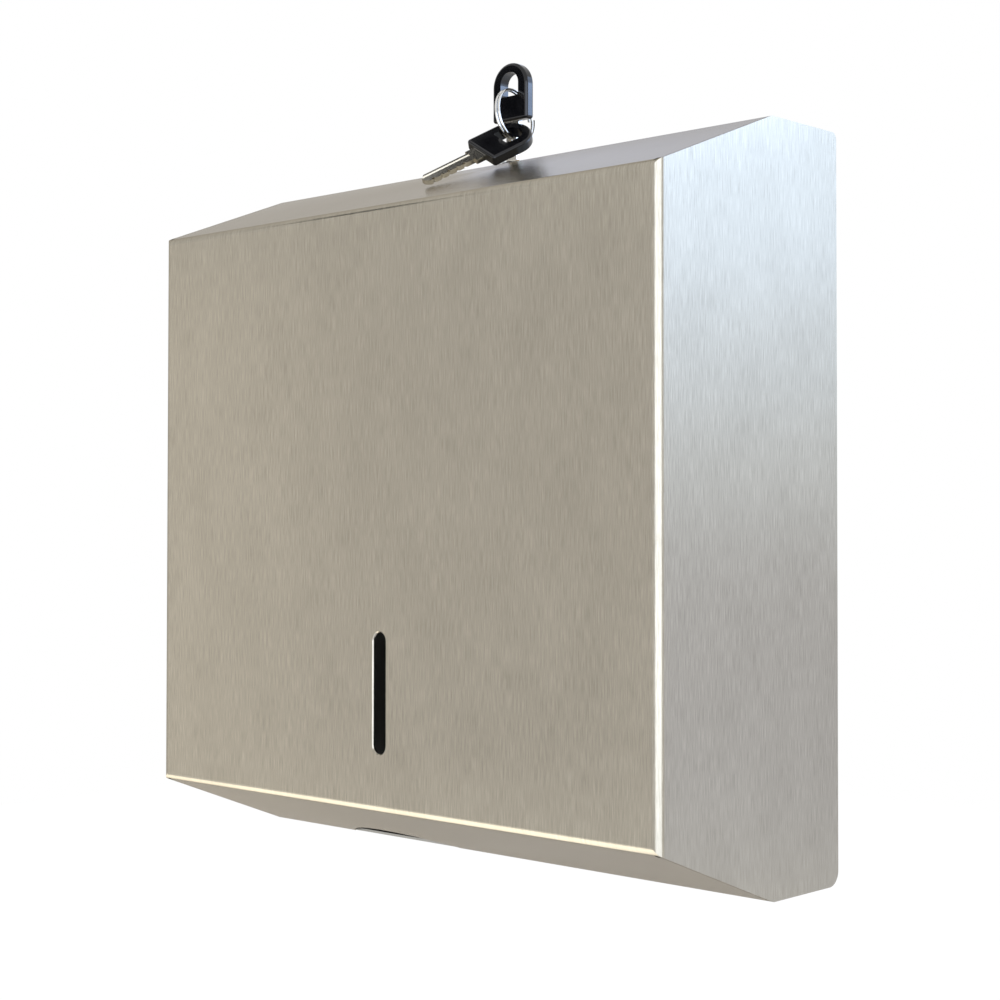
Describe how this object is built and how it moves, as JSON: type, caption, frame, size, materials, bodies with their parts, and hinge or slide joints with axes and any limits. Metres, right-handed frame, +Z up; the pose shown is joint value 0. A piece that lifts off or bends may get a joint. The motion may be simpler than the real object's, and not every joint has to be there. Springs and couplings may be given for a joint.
{
  "type": "folded towel dispenser",
  "caption": "Wall-mounted folded paper towel dispenser with a bevelled brushed steel cover on bottom hinges, a level slot, a top cam lock with a key and a spare key on a ring.",
  "frame": {"origin": "on the wall face, at the middle of the wall screw pattern, mid width and mid height", "axes": "+Z up, +Y into the wall, front toward -Y, +X to the right seen from the front"},
  "size_m": [0.26, 0.105, 0.3113],
  "materials": {
    "cover_steel": "brushed",
    "body_steel": "satin",
    "lock_chrome": "polished",
    "plug_brass": "satin",
    "key_nickel": "polished",
    "bow_plastic": "gloss",
    "washer_nylon": "matte"
  },
  "bodies": {
    "body": {"back_plate": "body_steel", "dispensing_tray": "body_steel", "tray_rivets": "body_steel", "latch_strike": "body_steel", "strike_rivets": "body_steel"},
    "cover": {"front_cover": "cover_steel", "left_hinge_stud": "body_steel", "right_hinge_stud": "body_steel", "left_hinge_washer": "washer_nylon", "right_hinge_washer": "washer_nylon", "left_hinge_clip": "body_steel", "right_hinge_clip": "body_steel", "lock_housing": "lock_chrome", "lock_washer": "body_steel", "lock_nut": "body_steel"},
    "plug": {"lock_plug": "plug_brass", "lock_wafers": "plug_brass", "lock_cam": "body_steel", "cam_screw": "body_steel"},
    "key": {"key_blade": "key_nickel", "key_bow": "bow_plastic"},
    "ring": {"key_ring": "key_nickel"},
    "spare_key": {"spare_key_blade": "key_nickel", "spare_key_bow": "bow_plastic"}
  },
  "joints": [
    {"name": "cover_hinge", "type": "hinge", "parent": "body", "child": "cover", "pos_m": [0, -0.011, -0.126], "axis": [1, 0, 0], "range_deg": [0, 90]},
    {"name": "lock_turn", "type": "hinge", "parent": "cover", "child": "plug", "pos_m": [0, -0.033, 0.135], "axis": [0, 0, 1], "range_deg": [-90, 0]},
    {"name": "key_slide", "type": "slide", "parent": "plug", "child": "key", "axis": [0, 0, 1], "range_m": [0, 0.012]},
    {"name": "ring_turn", "type": "hinge", "parent": "key", "child": "ring", "pos_m": [0.00336, -0.03557, 0.1544], "axis": [0.9887, 0.0735, 0.1305], "range_deg": [-90, 90]},
    {"name": "spare_key_swing", "type": "hinge", "parent": "key", "child": "spare_key", "pos_m": [0.00336, -0.03557, 0.1544], "axis": [0.9887, 0.0735, 0.1305], "range_deg": [-36, 0]}
  ],
  "couplings": [
    {"joint": "spare_key_swing", "follows": "lock_turn", "ratio": 0.4}
  ]
}
